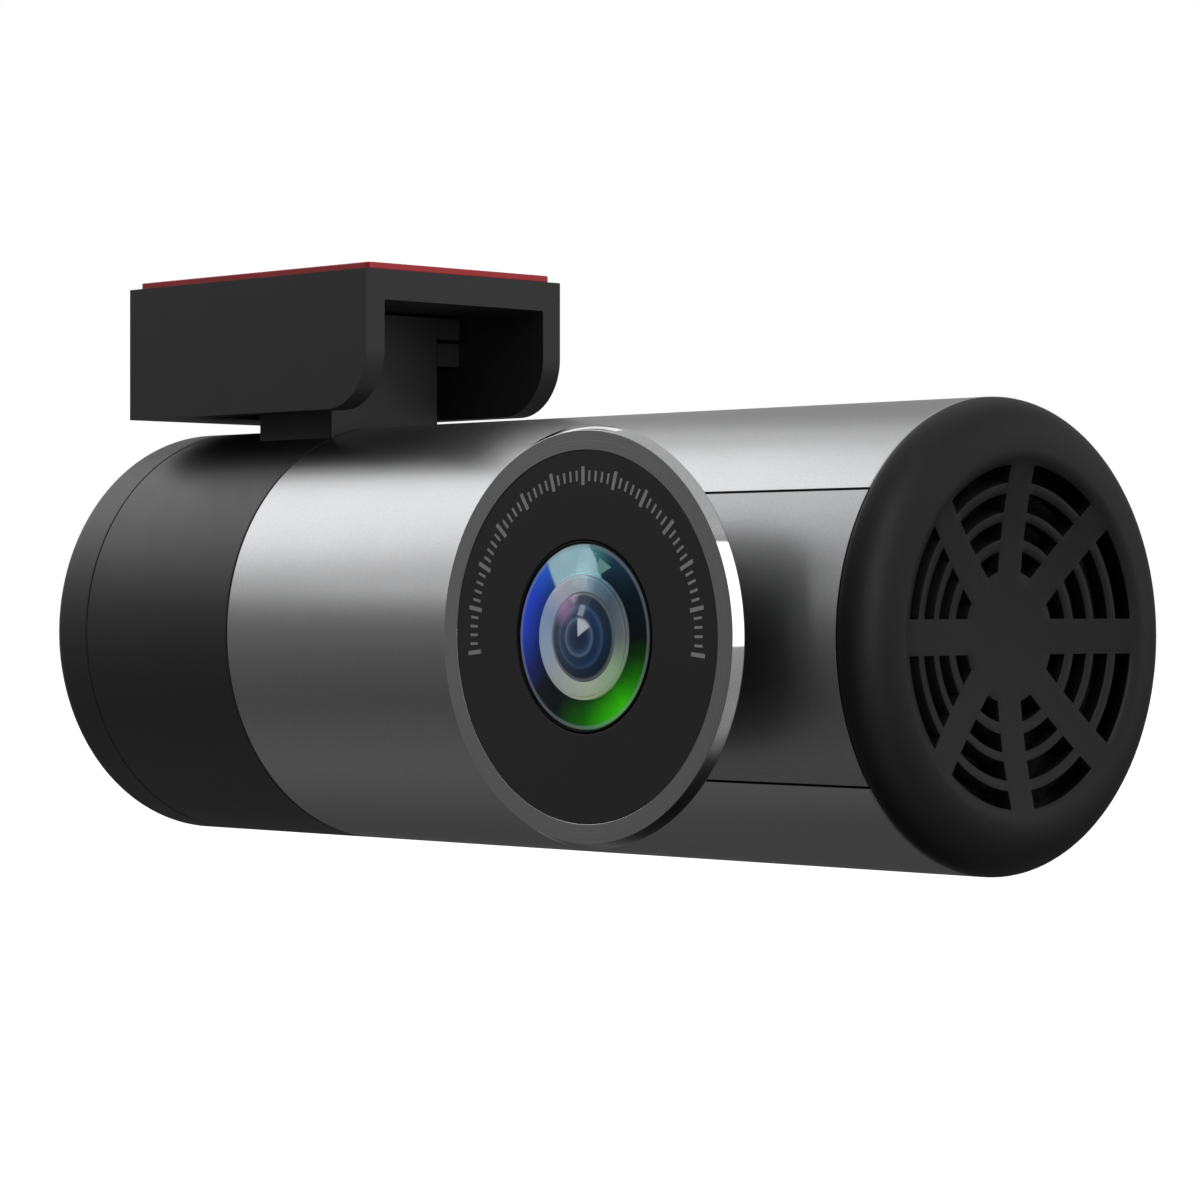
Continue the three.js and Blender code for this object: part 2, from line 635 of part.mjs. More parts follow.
function speaker() {
  const basket = turnedX([
    [20.2, 11.6], [20.2, 13.6], [19.2, 13.6], [16.6, 9.6], [15.9, 9.6], [15.9, 6.9],
    [16.5, 6.9], [16.5, 8.9], [18.9, 11.6], [20.2, 11.6],
  ], MEDIUM);
  const cone = turnedX([
    [18.4, 0], [18.9, 3.2], [17.9, 4.6], [19.8, 11.2], [20.1, 11.3], [18.3, 4.4], [19.3, 3.1],
    [18.8, 0],
  ], MEDIUM);
  const magnet = turnedX([
    [13.4, 0], [13.4, 6.6], [17.3, 6.6], [17.3, 3.6], [16.6, 3.6], [16.6, 0],
  ], MEDIUM);
  const grilleCloth = turnedX(rod(20.6, 20.95, 13.9), MEDIUM);
  return [
    piece('speaker_basket', basket, tinnedSteel),
    piece('speaker_cone', cone, paperCone),
    piece('speaker_magnet', magnet, magnetSteel),
    piece('grille_cloth', grilleCloth, cloth),
  ];
}

// ---------------------------------------------------------------- assembly

const head = new THREE.Group();
head.name = 'head';
head.add(
  pivotHub(), retainerWasher(), pivotScrew(), mainShell(), frontPanel(), grilleCap(),
  turret(), bezelRing(), coverPlate(), lensBarrel(), ...lensGlasses(), lensHolder(),
  ...sensorStack(), mainBoard(), ...boardScrews(), ...boardParts(), battery(), ...speaker(),
  powerButton(),
);

const arm = new THREE.Group();
arm.name = 'arm';
arm.add(armHousing(), endCap(), frictionRing(), waveWasher());

const mount = new THREE.Group();
mount.name = 'mount';
mount.add(bracket(), ...adhesivePad());

const dashCamera = new THREE.Group();
dashCamera.name = 'dash_camera';
dashCamera.position.set(AXIS_X, 0, AXIS_Z);
dashCamera.add(mount, arm, head);

export default dashCamera;
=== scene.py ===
"""Dash camera under a windscreen bracket: the visible surfaces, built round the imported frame.

Pieces are drawn in millimetres about the camera's own axes: x along the cylinder from the lens
axis, y away from the viewer (the lens looks along -y), z up from the cylinder axis. finished()
moves them into the frame's metres.
"""

import math

import bmesh
import bpy
from mathutils import Matrix, Vector


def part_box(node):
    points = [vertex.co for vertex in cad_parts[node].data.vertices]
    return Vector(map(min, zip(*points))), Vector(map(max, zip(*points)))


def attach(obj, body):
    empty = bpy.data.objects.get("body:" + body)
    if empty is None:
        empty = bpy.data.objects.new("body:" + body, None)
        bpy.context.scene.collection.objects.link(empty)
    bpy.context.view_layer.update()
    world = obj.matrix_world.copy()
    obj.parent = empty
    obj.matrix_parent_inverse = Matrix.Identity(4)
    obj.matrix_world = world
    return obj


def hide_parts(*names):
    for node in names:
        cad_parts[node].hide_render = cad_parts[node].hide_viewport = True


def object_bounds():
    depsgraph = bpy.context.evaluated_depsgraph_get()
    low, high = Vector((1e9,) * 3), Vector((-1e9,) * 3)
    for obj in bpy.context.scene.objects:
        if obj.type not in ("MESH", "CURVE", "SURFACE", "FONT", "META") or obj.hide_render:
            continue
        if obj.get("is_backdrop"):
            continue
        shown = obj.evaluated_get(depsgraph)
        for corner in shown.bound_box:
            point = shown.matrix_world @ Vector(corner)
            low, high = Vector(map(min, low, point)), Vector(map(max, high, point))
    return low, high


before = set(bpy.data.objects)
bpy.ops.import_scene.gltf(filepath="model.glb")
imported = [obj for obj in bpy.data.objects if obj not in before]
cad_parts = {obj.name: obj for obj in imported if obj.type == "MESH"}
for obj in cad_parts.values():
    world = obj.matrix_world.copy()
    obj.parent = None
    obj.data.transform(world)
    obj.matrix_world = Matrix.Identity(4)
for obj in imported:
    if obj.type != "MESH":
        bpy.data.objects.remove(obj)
cad_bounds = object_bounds()

MM = 0.001


def middle(node):
    """Centre of a CAD node's box, in metres."""
    low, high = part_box(node)
    return [(a + b) / 2 for a, b in zip(low, high)]


LENS_X = middle("bezel_ring")[0]
AXIS_Z = middle("end_cap")[2]

# ---------------------------------------------------------------- dimensions, millimetres

BODY = 18.0
BORE = 16.2
END_FACE = -72.0
CAP_SEAM = -67.05
PIVOT_SEAM = -47.45
GRILLE_SEAM = 21.95
GRILLE_CREST = 24.75
GRILLE_ROUND = 4.3
PANEL_HALF = 37.4  # degrees either side of straight ahead
PANEL_LEFT = -12.9
FRONT = 22.0
BEZEL = 15.95
BEZEL_FACE = 15.52
BEZEL_EDGE = 21.18
BEZEL_STEP = 14.9
BEZEL_BACK = 20.5
PLATE = 14.02
GLASS = 6.98
VENT = 12.87
VENT_X = 24.43
DISH = 1.55
SPOKE = 2.7
VENT_ROWS = ((5.0, 6.46), (7.36, 8.65), (9.39, 10.73), (11.55, 12.87))
BRACKET_X = (-69.6, -37.2)
BRACKET_Y = 11.25
BRACKET_Z = (19.0, 30.7)
CHANNEL_Y = 9.2
CHANNEL_TOP = 28.15
CONTROLS_Z = 1.3
BUTTON_X = -28.0
LIGHT_X = -36.5
HOLE_X = -41.5
USB_X = 4.6
CARD_X = -11.0
NECK_X = (-57.5, -47.6)
NECK_HALF = 6.22
NECK_TOP = 26.6
TEE_HALF = 8.92
TEE_Z = (26.05, 27.9)
LENS_RIM = 7.22
LENS_FRONT = 21.96
CONE_INNER = 4.78
RING_INNER = 3.40
RING_OUTER = 4.75
SECOND = 3.36
FLOOR_BELOW = 130.0
WEB = (-50.0, -48.05)
STOP_RADII = (11.8, 14.6)
STOP_HALF = 68.0  # degrees either side of straight ahead


# ---------------------------------------------------------------- outlines

def rounded(points, closed=True, steps=4):
    """The outline with its corners rounded: a point is (a, b) or (a, b, radius)."""
    out = []
    count = len(points)
    for i, p in enumerate(points):
        b = Vector(p[:2])
        if len(p) < 3 or (not closed and i in (0, count - 1)):
            out.append((b.x, b.y))
            continue
        before = Vector(points[i - 1][:2]) - b
        after = Vector(points[(i + 1) % count][:2]) - b
        half = before.angle(after) / 2
        reach = min(p[2] / math.tan(half), 0.48 * before.length, 0.48 * after.length)
        radius = reach * math.tan(half)
        centre = b + (before.normalized() + after.normalized()).normalized() * (
            radius / math.sin(half)
        )
        start = b + before.normalized() * reach - centre
        end = b + after.normalized() * reach - centre
        turn = start.angle_signed(end)
        for k in range(steps + 1):
            spoke = start.copy()
            spoke.rotate(Matrix.Rotation(-turn * k / steps, 2))
            out.append((centre.x + spoke.x, centre.y + spoke.y))
    return out


def ellipse(centre, sizes, first, last, steps):
    """Points on an elliptical arc between two angles in degrees."""
    out = []
    for k in range(steps + 1):
        t = math.radians(first + (last - first) * k / steps)
        out.append((centre[0] + sizes[0] * math.cos(t), centre[1] + sizes[1] * math.sin(t)))
    return out


def box_outline(a0, a1, b0, b1, radius=0.0):
    corners = [(a0, b0), (a1, b0), (a1, b1), (a0, b1)]
    if radius:
        corners = [(a, b, radius) for a, b in corners]
    return rounded(corners)


# ---------------------------------------------------------------- solids

def revolve(profile, axis="x", centre=(0.0, 0.0), segments=160, closed=True):
    """Turns (along, radius) pairs about x, or about the lens axis with along pointing ahead.

    An open profile starts and ends on the axis.
    """
    bm = bmesh.new()
    rings = []
    for along, radius in profile:
        ring = []
        for k in range(segments if radius > 1e-6 else 1):
            t = 2 * math.pi * k / segments
            if axis == "x":
                co = (along, centre[0] - radius * math.cos(t), centre[1] + radius * math.sin(t))
            else:
                co = (centre[0] + radius * math.cos(t), -along, centre[1] + radius * math.sin(t))
            ring.append(bm.verts.new(co))
        rings.append(ring)
    pairs = list(zip(rings, rings[1:]))
    if closed:
        pairs.append((rings[-1], rings[0]))
    for a, b in pairs:
        for k in range(segments):
            quad = [a[k % len(a)], a[(k + 1) % len(a)], b[(k + 1) % len(b)], b[k % len(b)]]
            corners = []
            for v in quad:
                if v not in corners:
                    corners.append(v)
            if len(corners) > 2:
                bm.faces.new(corners)
    bmesh.ops.recalc_face_normals(bm, faces=bm.faces)
    return bm


def prism(outline, axis, low, high):
    """Straight solid: outline in the other two axes, in x, y, z order, from low to high."""
    bm = bmesh.new()
    ends = []
    for at in (low, high):
        ring = []
        for a, b in outline:
            co = {"x": (at, a, b), "y": (a, at, b), "z": (a, b, at)}[axis]
            ring.append(bm.verts.new(co))
        ends.append(ring)
    count = len(outline)
    for k in range(count):
        n = (k + 1) % count
        bm.faces.new((ends[0][k], ends[0][n], ends[1][n], ends[1][k]))
    bm.faces.new(list(reversed(ends[0])))
    bm.faces.new(ends[1])
    bmesh.ops.recalc_face_normals(bm, faces=bm.faces)
    return bm


def wedge(x0, x1, inner, outer, half, steps=96):
    """Part of a tube about x, half degrees either side of straight ahead."""
    outline = []
    for radius, sign in ((outer, 1), (inner, -1)):
        for k in range(steps + 1):
            t = math.radians(sign * half * (2 * k / steps - 1))
            outline.append((-radius * math.cos(t), radius * math.sin(t)))
    return prism(outline, "x", x0, x1)


def rod(axis, a0, a1, radius, centre, segments=48):
    """Cylinder along x or y."""
    outline = []
    for k in range(segments):
        t = 2 * math.pi * k / segments
        outline.append((centre[0] + radius * math.cos(t), centre[1] + radius * math.sin(t)))
    return prism(outline, axis, a0, a1)


def temporary(bm):
    mesh = bpy.data.meshes.new("temporary")
    bm.to_mesh(mesh)
    bm.free()
    obj = bpy.data.objects.new("temporary", mesh)
    bpy.context.scene.collection.objects.link(obj)
    return obj


def combine(base, *steps):
    """Boolean joins ("add") and cuts ("cut") applied in turn to a solid."""
    names = {"add": "UNION", "cut": "DIFFERENCE"}
    whole = temporary(base)
    others = []
    for word, bm in steps:
        other = temporary(bm)
        modifier = whole.modifiers.new(word, "BOOLEAN")
        modifier.operation = names[word]
        modifier.solver = "EXACT"
        modifier.object = other
        others.append(other)
    bpy.context.view_layer.update()
    evaluated = whole.evaluated_get(bpy.context.evaluated_depsgraph_get())
    result = bmesh.new()
    result.from_mesh(evaluated.to_mesh())
    evaluated.to_mesh_clear()
    for obj in others + [whole]:
        mesh = obj.data
        bpy.data.objects.remove(obj)
        bpy.data.meshes.remove(mesh)
    bmesh.ops.remove_doubles(result, verts=result.verts, dist=1e-4)
    return result


def finished(name, bm, body, material, nodes=(), bevel=0.0, sharp=32):
    """Moves a solid into the frame and makes it a piece that rides on a body."""
    for v in bm.verts:
        v.co = Vector((v.co.x * MM + LENS_X, v.co.y * MM, v.co.z * MM + AXIS_Z))
    mesh = bpy.data.meshes.new(name)
    bm.to_mesh(mesh)
    bm.free()
    mesh.shade_smooth()
    mesh.set_sharp_from_angle(angle=math.radians(sharp))
    obj = bpy.data.objects.new(name, mesh)
    bpy.context.scene.collection.objects.link(obj)
    mesh.materials.append(material)
    if bevel:
        add_bevel(obj, bevel)
    even = obj.modifiers.new("even", "WEIGHTED_NORMAL")
    even.keep_sharp = True
    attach(obj, body)
    if nodes:
        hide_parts(*nodes)
    return obj


def add_bevel(obj, width, segments=2):
    modifier = obj.modifiers.new("edge", "BEVEL")
    modifier.width = width * MM
    modifier.segments = segments
    modifier.limit_method = "ANGLE"
    modifier.angle_limit = math.radians(32)
    modifier.harden_normals = True
    modifier.use_clamp_overlap = True


# ---------------------------------------------------------------- materials

class Surface:
    """A procedural material: helpers for the few node patterns used here."""

    def __init__(self, name, colour, roughness, metallic=0.0):
        self.material = bpy.data.materials.new(name)
        self.material.use_nodes = True
        self.tree = self.material.node_tree
        self.shader = self.tree.nodes["Principled BSDF"]
        self.shader.inputs["Base Color"].default_value = (*colour, 1.0)
        self.shader.inputs["Roughness"].default_value = roughness
        self.shader.inputs["Metallic"].default_value = metallic
        self.place = self.node("ShaderNodeTexCoord").outputs["Object"]
        self.bump = None

    def node(self, kind, **values):
        made = self.tree.nodes.new(kind)
        for key, value in values.items():
            if hasattr(made, key):
                setattr(made, key, value)
            else:
                made.inputs[key.replace("_", " ")].default_value = value
        return made

    def link(self, a, b):
        self.tree.links.new(a, b)

    def noise(self, scale, detail=4.0, roughness=0.5, source=None):
        made = self.node("ShaderNodeTexNoise", Scale=scale, Detail=detail, Roughness=roughness)
        self.link(source or self.place, made.inputs["Vector"])
        return made.outputs["Fac"]

    def ramp(self, source, stops):
        made = self.node("ShaderNodeValToRGB")
        ramp = made.color_ramp
        for k, (at, colour) in enumerate(stops):
            stop = ramp.elements[k] if k < 2 else ramp.elements.new(at)
            stop.position = at
            stop.color = (*colour, 1.0)
        self.link(source, made.inputs["Fac"])
        return made.outputs["Color"]

    def spread(self, source, low, high, first=0.35, last=0.65):
        made = self.node("ShaderNodeMapRange")
        made.inputs["From Min"].default_value = first
        made.inputs["From Max"].default_value = last
        made.inputs["To Min"].default_value = low
        made.inputs["To Max"].default_value = high
        self.link(source, made.inputs["Value"])
        return made.outputs["Result"]

    def tint(self, source, colour, amount):
        """Base colour that drifts either side of colour as source runs over its middle."""
        dark = tuple(c * (1 - amount) for c in colour)
        light = tuple(min(1.0, c * (1 + amount)) for c in colour)
        self.link(self.ramp(source, [(0.35, dark), (0.65, light)]), self.shader.inputs["Base Color"])

    def rough(self, source, low, high):
        self.link(self.spread(source, low, high), self.shader.inputs["Roughness"])

    def raise_by(self, source, distance, strength=1.0):
        made = self.node("ShaderNodeBump", Strength=strength, Distance=distance * MM)
        self.link(source, made.inputs["Height"])
        if self.bump is not None:
            self.link(self.bump, made.inputs["Normal"])
        self.bump = made.outputs["Normal"]
        self.link(self.bump, self.shader.inputs["Normal"])

    def maths(self, operation, a, b=None):
        made = self.node("ShaderNodeMath", operation=operation)
        for k, value in enumerate((a, b)):
            if value is None:
                continue
            if isinstance(value, (int, float)):
                made.inputs[k].default_value = value
            else:
                self.link(value, made.inputs[k])
        return made.outputs["Value"]

    def blend(self, share, colour, other):
        made = self.node("ShaderNodeMix", data_type="RGBA")
        self.link(share, made.inputs["Factor"])
        self.link(colour, made.inputs[6])
        made.inputs[7].default_value = (*other, 1.0)
        return made.outputs[2]

    def polar(self, right=0.0, up=0.0):
        """Radius in metres and angle in turns round a point given from the lens axis."""
        split = self.node("ShaderNodeSeparateXYZ")
        self.link(self.place, split.inputs["Vector"])
        x = self.maths("SUBTRACT", split.outputs["X"], LENS_X + right)
        z = self.maths("SUBTRACT", split.outputs["Z"], AXIS_Z + up)
        square = self.maths("ADD", self.maths("MULTIPLY", x, x), self.maths("MULTIPLY", z, z))
        angle = self.maths("ARCTAN2", z, x)
        return self.maths("SQRT", square), self.maths("DIVIDE", angle, 2 * math.pi)


def moulded(name, colour, roughness, grain=0.006, scale=5200.0, shine=0.5):
    """Moulded plastic: a fine spark-eroded grain, with slow drifts in tone and gloss."""
    s = Surface(name, colour, roughness)
    s.shader.inputs["Specular IOR Level"].default_value = shine
    s.tint(s.noise(90.0, 3.0), colour, 0.05)
    s.rough(s.noise(260.0, 3.0), roughness - 0.015, roughness + 0.015)
    s.raise_by(s.noise(scale, 2.0), grain)
    return s.material


def satin_metal(name, colour, roughness, grain=0.003, scale=7000.0):
    """Bead-blasted, anodised metal: fine sparkle and faint handling variation."""
    s = Surface(name, colour, roughness, 1.0)
    s.tint(s.noise(scale, 1.0), colour, 0.05)
    s.rough(s.noise(140.0, 4.0), roughness - 0.008, roughness + 0.008)
    s.raise_by(s.noise(scale, 2.0), grain)
    return s.material


def turned_metal(name, colour, roughness):
    """Face-turned metal: fine rings about the lens axis in gloss, tone and height."""
    s = Surface(name, colour, roughness, 1.0)
    radius, _ = s.polar()
    ring = s.node("ShaderNodeCombineXYZ")
    s.link(radius, ring.inputs["X"])
    lay = s.noise(9000.0, 3.0, 0.6, ring.outputs["Vector"])
    s.tint(lay, colour, 0.12)
    s.rough(lay, roughness - 0.05, roughness + 0.06)
    s.raise_by(lay, 0.003)
    return s.material


def plain_metal(name, colour, roughness):
    """Sheet or bar metal with faint directional drawing lines."""
    s = Surface(name, colour, roughness, 1.0)
    stretch = s.node("ShaderNodeMapping")
    stretch.inputs["Scale"].default_value = (0.08, 1.0, 1.0)
    s.link(s.place, stretch.inputs["Vector"])
    lines = s.noise(4200.0, 3.0, 0.6, stretch.outputs["Vector"])
    s.tint(lines, colour, 0.1)
    s.rough(lines, roughness - 0.06, roughness + 0.08)
    s.raise_by(lines, 0.003)
    return s.material


def circuit_board(name):
    """Green solder mask with the shadow of tracks under it."""
    s = Surface(name, (0.01, 0.09, 0.04), 0.4)
    cells = s.node("ShaderNodeTexVoronoi", distance="MANHATTAN", Scale=700.0)
    s.link(s.place, cells.inputs["Vector"])
    colour = s.ramp(cells.outputs["Distance"], [(0.3, (0.006, 0.06, 0.028)), (0.5, (0.014, 0.12, 0.05))])
    s.link(colour, s.shader.inputs["Base Color"])
    s.raise_by(cells.outputs["Distance"], 0.02)
    return s.material


def foam_tape(name):
    """Closed-cell foam."""
    s = Surface(name, (0.03, 0.03, 0.034), 0.9)
    cells = s.node("ShaderNodeTexVoronoi", Scale=3500.0)
    s.link(s.place, cells.inputs["Vector"])
    s.tint(cells.outputs["Distance"], (0.03, 0.03, 0.034), 0.4)
    s.raise_by(cells.outputs["Distance"], 0.05)
    return s.material


def woven(name):
    """Fine black acoustic cloth."""
    s = Surface(name, (0.004, 0.004, 0.004), 0.95)
    weave = []
    for kind in ("Y", "Z"):
        wave = s.node("ShaderNodeTexWave", bands_direction=kind, Scale=900.0, Distortion=0.6)
        s.link(s.place, wave.inputs["Vector"])
        weave.append(wave.outputs["Fac"])
    both = s.maths("MULTIPLY", weave[0], weave[1])
    s.tint(both, (0.004, 0.004, 0.004), 0.6)
    s.raise_by(both, 0.04)
    return s.material


INK = (0.003, 0.006, 0.006)
SLATE = (0.020, 0.070, 0.120)
TEAL = (0.090, 0.400, 0.340)
# pale colour of the painted window reflection on the lens
PAINTED_WINDOW_REFLECTION = (0.66, 1.0, 0.98)
BLUE = (0.006, 0.090, 1.0)
LEAF = (0.070, 1.0, 0.005)


def shaded(colour, share):
    return tuple(c * share for c in colour)


def around_lens(s, right=0.0, up=0.0):
    """Turns round the lens axis, or a point beside it, 0 to 1 anticlockwise from the right, and
    the radius in metres.
    """
    radius, turn = s.polar(right, up)
    return s.maths("FRACT", s.maths("ADD", turn, 1.0)), radius


def fan(s, around, radius, first, last, reach):
    """Mask of the sector between two turns, out to a radius in metres."""
    begins = s.spread(around, 0.0, 1.0, first - 0.008, first + 0.008)
    ends = s.spread(around, 1.0, 0.0, last - 0.008, last + 0.008)
    near = s.spread(radius, 1.0, 0.0, reach - 0.0001, reach + 0.0001)
    return s.maths("MULTIPLY", near, s.maths("MULTIPLY", begins, ends))


def painted_coating_reflections(name):
    """Inside of the front element: painted reflections of its blue, teal and green coatings by angle
    round the lens axis, painted shade towards the inner edge, a painted window reflection near the top, a
    painted glint beside it, a thin light grey outer ring and a faint painted glow.
    """
    s = Surface(name, BLUE, 0.3)
    s.shader.inputs["Specular IOR Level"].default_value = 0.04
    around, radius = around_lens(s)
    # painted coloured reflections of the coatings, with darker shaded copies of the colours
    colour = s.ramp(around, [
        (0.0, INK), (0.10, shaded(SLATE, 0.25)), (0.17, SLATE), (0.23, TEAL), (0.30, (0.03, 0.25, 0.70)),
        (0.36, (0.02, 0.20, 1.0)), (0.42, BLUE), (0.49, shaded(BLUE, 0.8)), (0.56, shaded(BLUE, 0.25)),
        (0.61, INK), (0.67, INK), (0.75, shaded(LEAF, 0.25)), (0.81, shaded(LEAF, 0.8)), (0.86, LEAF),
        (0.91, shaded(LEAF, 0.4)), (0.96, shaded(LEAF, 0.08)), (1.0, INK),
    ])
    # painted shade: darker towards the inner edge
    colour = s.blend(s.spread(radius, 0.75, 0.0, 0.0047, 0.0064), colour, INK)
    # painted window reflection: a pale patch near the top, narrowing outwards
    from_middle = s.maths("SUBTRACT", around, s.spread(radius, 0.274, 0.292, 0.0048, 0.0068))
    half_width = s.spread(radius, 0.085, 0.056, 0.0048, 0.0068)
    across = s.maths("DIVIDE", s.maths("ABSOLUTE", from_middle), half_width)
    colour = s.blend(s.spread(across, 0.92, 0.0, 0.95, 1.05), colour, PAINTED_WINDOW_REFLECTION)
    # painted glint: a small pale fan up and to the right of the axis
    beside, beside_radius = around_lens(s, 0.0029, 0.0052)
    colour = s.blend(fan(s, beside, beside_radius, 0.415, 0.565, 0.00145), colour, (0.26, 0.52, 0.46))
    colour = s.blend(s.spread(radius, 0.0, 0.4, 0.00662, 0.00676), colour, (0.50, 0.52, 0.56))
    s.link(colour, s.shader.inputs["Base Color"])
    # painted glow: the colours also shine faintly, though this is no lamp
    s.link(colour, s.shader.inputs["Emission Color"])
    s.shader.inputs["Emission Strength"].default_value = 0.15
    s.rough(s.noise(500.0), 0.26, 0.34)
    return s.material


def retaining_ring(name):
    """Pale ring between the elements, with painted light over it: the coloured reflections of the
    coatings by angle, a whiter window reflection over the top, and a faint glow.
    """
    s = Surface(name, (0.6, 0.6, 0.6), 0.45)
    s.shader.inputs["Specular IOR Level"].default_value = 0.2
    around, _ = around_lens(s)
    # painted reflections and shade: lighter and darker by angle round the lens axis
    tint = s.ramp(around, [
        (0.0, (0.32, 0.35, 0.33)), (0.12, (0.18, 0.24, 0.28)), (0.19, (0.30, 0.52, 0.60)),
        (0.235, (0.84, 1.0, 1.0)), (0.35, (1.0, 0.96, 1.0)), (0.43, (0.56, 0.72, 1.0)),
        (0.54, (0.70, 0.84, 0.98)), (0.62, (0.82, 0.82, 0.80)), (0.78, (0.92, 1.0, 0.66)),
        (0.90, (0.64, 0.90, 0.48)), (1.0, (0.32, 0.35, 0.33)),
    ])
    s.link(tint, s.shader.inputs["Base Color"])
    # painted glow: the tint also shines faintly, though this is no lamp
    s.link(tint, s.shader.inputs["Emission Color"])
    s.shader.inputs["Emission Strength"].default_value = 0.06
    s.rough(s.noise(500.0), 0.40, 0.50)
    return s.material


def inner_element(name):
    """Dark second element, with painted light: lighter rings where the edges of the elements behind it
    show, a rosy flare, a white glint, and a faint glow.
    """
    s = Surface(name, (0.01, 0.02, 0.06), 0.08)
    around, radius = around_lens(s)
    out = s.spread(radius, 0.0, 1.0, 0.0, 0.0034)
    # painted light rings on the dark glass, by distance from the axis
    colour = s.ramp(out, [
        (0.0, (0.006, 0.020, 0.070)), (0.26, (0.016, 0.045, 0.110)), (0.36, (0.060, 0.120, 0.220)),
        (0.41, (0.190, 0.280, 0.400)), (0.47, (0.020, 0.050, 0.120)), (0.60, (0.016, 0.060, 0.170)),
        (0.68, (0.070, 0.130, 0.230)), (0.73, (0.012, 0.040, 0.090)), (0.90, (0.012, 0.030, 0.050)),
        (0.96, (0.260, 0.290, 0.310)), (1.0, (0.040, 0.050, 0.060)),
    ])
    # painted rosy flare at the upper left
    away = s.node("ShaderNodeVectorMath", operation="DISTANCE")
    s.link(s.place, away.inputs[0])
    away.inputs[1].default_value = (LENS_X - 0.00205, -0.0222, AXIS_Z + 0.00245)
    flare = s.spread(away.outputs["Value"], 0.85, 0.0, 0.0, 0.0018)
    colour = s.blend(flare, colour, (0.85, 0.42, 0.72))
    # painted glint: a white fan above and right of the axis
    colour = s.blend(fan(s, around, radius, 0.092, 0.265, 0.00137), colour, (1.0, 1.0, 1.0))
    s.link(colour, s.shader.inputs["Base Color"])
    # painted glow: the colour also shines faintly, though this is no lamp
    s.link(colour, s.shader.inputs["Emission Color"])
    s.shader.inputs["Emission Strength"].default_value = 0.10
    s.rough(s.noise(700.0), 0.05, 0.11)
    s.shader.inputs["Specular IOR Level"].default_value = 0.4
    s.shader.inputs["IOR"].default_value = 1.7
    return s.material


def clear_glass(name, tint, least):
    """Coated glass over what is inside it: mirrors more towards grazing, and hides nothing."""
    s = Surface(name, tint, 0.03)
    tree = s.tree
    tree.nodes.remove(s.shader)
    through = s.node("ShaderNodeBsdfTransparent")
    through.inputs["Color"].default_value = (*tint, 1.0)
    mirror = s.node("ShaderNodeBsdfGlossy")
    s.link(s.spread(s.noise(400.0), 0.01, 0.04), mirror.inputs["Roughness"])
    mirror.inputs["Color"].default_value = (0.86, 0.92, 1.0, 1.0)
    facing = s.node("ShaderNodeLayerWeight", Blend=0.5).outputs["Facing"]
    share = s.maths("ADD", s.maths("MULTIPLY", s.maths("POWER", facing, 5.0), 0.8), least)
    mix = s.node("ShaderNodeMixShader")
    s.link(share, mix.inputs["Fac"])
    s.link(through.outputs["BSDF"], mix.inputs[1])
    s.link(mirror.outputs["BSDF"], mix.inputs[2])
    s.link(mix.outputs["Shader"], tree.nodes["Material Output"].inputs["Surface"])
    return s.material


BLACK = moulded("black_moulding", (0.0195, 0.0195, 0.0205), 0.46, shine=0.44)
GRILLE_BLACK = moulded("grille_black", (0.0075, 0.0075, 0.008), 0.44, 0.004, shine=0.25)
COVER_BLACK = moulded("cover_black", (0.024, 0.024, 0.024), 0.55, 0.002, shine=0.3)
# darker copy of the shell's satin metal: painted shade of the bezel over the front strip; it is also
# rougher
STRIP_SILVER_PAINTED_SHADE = satin_metal("strip_satin_painted_shade", (0.33, 0.332, 0.338), 0.43)
SILVER = satin_metal("silver_satin", (0.40, 0.402, 0.408), 0.33)
BEZEL_METAL = turned_metal("bezel_turned", (0.42, 0.422, 0.427), 0.16)
BEZEL_CUT = satin_metal("bezel_cut", (0.42, 0.422, 0.427), 0.05, 0.0005)
BEZEL_BEHIND = satin_metal("bezel_behind", (0.36, 0.362, 0.366), 0.4)
LENS_BLACK = satin_metal("lens_anodised", (0.012, 0.012, 0.014), 0.35)
PRINT_GREY = moulded("print_grey", (0.34, 0.34, 0.345), 0.6, 0.002)
RED_FILM = moulded("red_film", (0.46, 0.012, 0.022), 0.33, 0.002)
FOAM = foam_tape("foam_tape")
NYLON = moulded("nylon", (0.66, 0.64, 0.58), 0.5)
SPRING = plain_metal("spring_steel", (0.5, 0.51, 0.52), 0.28)
SCREW = plain_metal("screw_zinc", (0.16, 0.17, 0.18), 0.35)
TINNED = plain_metal("tinned_steel", (0.58, 0.59, 0.6), 0.3)
MAGNET = plain_metal("magnet_nickel", (0.3, 0.3, 0.31), 0.3)
FOIL = plain_metal("battery_foil", (0.55, 0.56, 0.58), 0.32)
BOARD = circuit_board("solder_mask")
CHIP = moulded("chip_resin", (0.012, 0.012, 0.014), 0.5)
PAPER = moulded("speaker_paper", (0.02, 0.018, 0.015), 0.85, 0.02, 2500.0)
CLOTH = woven("grille_cloth")
CLEAR = moulded("light_guide", (0.62, 0.66, 0.68), 0.25, 0.001)
FILTER = moulded("filter_glass", (0.04, 0.2, 0.26), 0.08, 0.0005)
COATING_REFLECTION_PAINT = painted_coating_reflections("painted_coating_reflections")
DOME_GLASS = clear_glass("dome_glass", (0.95, 0.97, 1.0), 0.012)
INNER_GLASS = inner_element("inner_glass")
PALE_RING_PAINTED_LIGHT = retaining_ring("pale_ring_painted_light")

# ---------------------------------------------------------------- bracket

